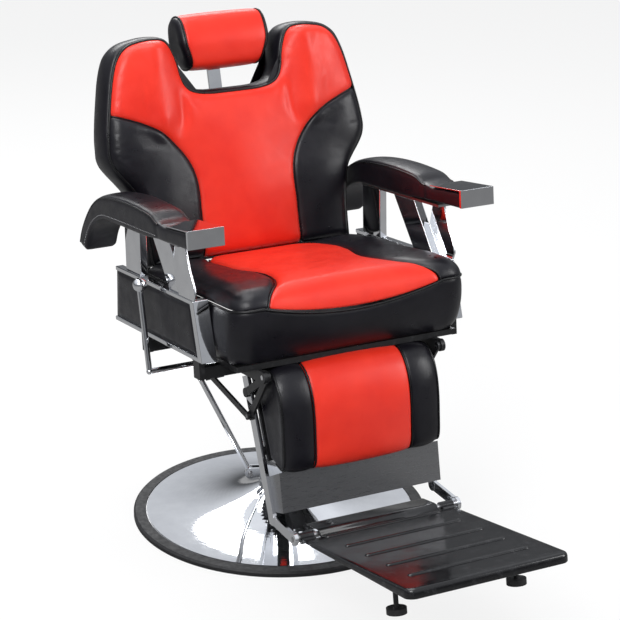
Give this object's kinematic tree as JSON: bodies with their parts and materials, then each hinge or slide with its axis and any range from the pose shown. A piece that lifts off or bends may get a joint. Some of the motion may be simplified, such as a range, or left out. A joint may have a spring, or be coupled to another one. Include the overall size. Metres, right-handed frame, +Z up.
{
  "type": "barber chair",
  "caption": "Reclining barber chair on a round hydraulic base, with padded seat, arms, sliding headrest, linked legrest and folding footplate.",
  "frame": {"origin": "centre of the round base on the floor", "axes": "+Z up along the column, the sitter faces -Y, +X to the viewer's right when looking at the front"},
  "size_m": [0.695, 1.2442, 1.0674],
  "materials": {
    "black_trim": "matt black rubber ring",
    "steel": "plain steel",
    "chrome": "bright chrome",
    "black_steel": "gloss black powder coat",
    "grip": "black grip",
    "black_vinyl": "soft black leather-look vinyl over foam",
    "red_vinyl": "soft red leather-look vinyl over foam",
    "board": "plywood",
    "panel": "satin black side panel",
    "foot_black": "gloss black footplate"
  },
  "bodies": {
    "base": {"base_ring": "black_trim", "base_plate": "steel", "base_dome": "chrome", "base_bolts": "steel", "pump_cylinder": "chrome", "cylinder_collar": "black_trim", "pump_lever_pin": "steel"},
    "pump_handle": {"pump_lever": "chrome", "pump_lever_grip": "grip"},
    "column": {"piston": "chrome"},
    "chair": {"swivel_hub": "black_steel", "seat_frame": "black_steel", "mount_bolts": "steel", "side_panel_left": "panel", "side_panel_right": "panel", "side_trim_left": "chrome", "side_trim_right": "chrome", "arm_rear_post_left": "chrome", "arm_rear_post_right": "chrome", "arm_front_post_left": "chrome", "arm_front_post_right": "chrome", "arm_rail_left": "steel", "arm_rail_right": "steel", "arm_pad_left": "black_vinyl", "arm_pad_right": "black_vinyl", "arm_cap_left": "chrome", "arm_cap_right": "chrome", "seat_board": "board", "seat_body": "black_vinyl", "seat_centre": "red_vinyl", "seat_bolster_left": "black_vinyl", "seat_bolster_right": "black_vinyl", "recline_lock": "steel", "frame_pins": "chrome"},
    "lever": {"recline_lever": "chrome", "lever_knob": "chrome"},
    "backrest": {"back_bracket_left": "black_steel", "back_bracket_right": "black_steel", "back_pins": "steel", "back_panel": "board", "back_body": "black_vinyl", "back_centre": "red_vinyl", "back_wing_left": "black_vinyl", "back_wing_right": "black_vinyl", "headrest_guide": "panel"},
    "headrest": {"headrest_bar": "chrome", "headrest_pad": "red_vinyl"},
    "rod_left": {"recline_rod_left": "black_steel"},
    "rod_right": {"recline_rod_right": "black_steel"},
    "legrest": {"leg_bar_left": "chrome", "leg_bar_right": "chrome", "leg_frame": "black_steel", "calf_board": "board", "calf_centre": "red_vinyl", "calf_side_left": "black_vinyl", "calf_side_right": "black_vinyl", "toe_plate": "steel", "leg_pins": "steel"},
    "footrest": {"footplate": "foot_black", "foot_glides": "black_trim"}
  },
  "joints": [
    {"name": "height", "type": "slide", "parent": "base", "child": "column", "axis": [0, 0, 1], "range_m": [-0.05, 0.08]},
    {"name": "swivel", "type": "hinge", "parent": "column", "child": "chair", "pos_m": [0, 0, 0.39], "axis": [0, 0, 1], "continuous": true},
    {"name": "pump", "type": "hinge", "parent": "base", "child": "pump_handle", "pos_m": [-0.06202, 0.02257, 0.098], "axis": [-0.342, -0.9397, 0], "range_deg": [0, 18], "stiffness_Nm_per_rad": 4, "springref_deg": -20.05},
    {"name": "recline", "type": "hinge", "parent": "chair", "child": "backrest", "pos_m": [0, 0.165, 0.545], "axis": [-1, 0, 0], "range_deg": [0, 40]},
    {"name": "rod_left_eye", "type": "hinge", "parent": "backrest", "child": "rod_left", "pos_m": [-0.203, 0.241, 0.432], "axis": [-1, 0, 0], "range_deg": [-40, 0]},
    {"name": "rod_right_eye", "type": "hinge", "parent": "backrest", "child": "rod_right", "pos_m": [0.203, 0.241, 0.432], "axis": [-1, 0, 0], "range_deg": [-40, 0]},
    {"name": "legrest_raise", "type": "hinge", "parent": "chair", "child": "legrest", "pos_m": [0, -0.3348, 0.48079], "axis": [-1, 0, 0], "range_deg": [0, 40]},
    {"name": "footplate_fold", "type": "hinge", "parent": "legrest", "child": "footrest", "pos_m": [0, -0.44467, 0.16855], "axis": [-1, 0, 0], "range_deg": [0, 60]},
    {"name": "headrest_slide", "type": "slide", "parent": "backrest", "child": "headrest", "axis": [0, 0.2823, 0.9593], "range_m": [-0.02, 0.05]},
    {"name": "lever_pull", "type": "hinge", "parent": "chair", "child": "lever", "pos_m": [-0.33, -0.05, 0.412], "axis": [1, 0, 0], "range_deg": [0, 14], "stiffness_Nm_per_rad": 3, "springref_deg": -22.92}
  ],
  "couplings": [
    {"joint": "rod_left_eye", "follows": "recline", "ratio": -1},
    {"joint": "rod_right_eye", "follows": "recline", "ratio": -1},
    {"joint": "legrest_raise", "follows": "recline", "ratio": 1}
  ]
}
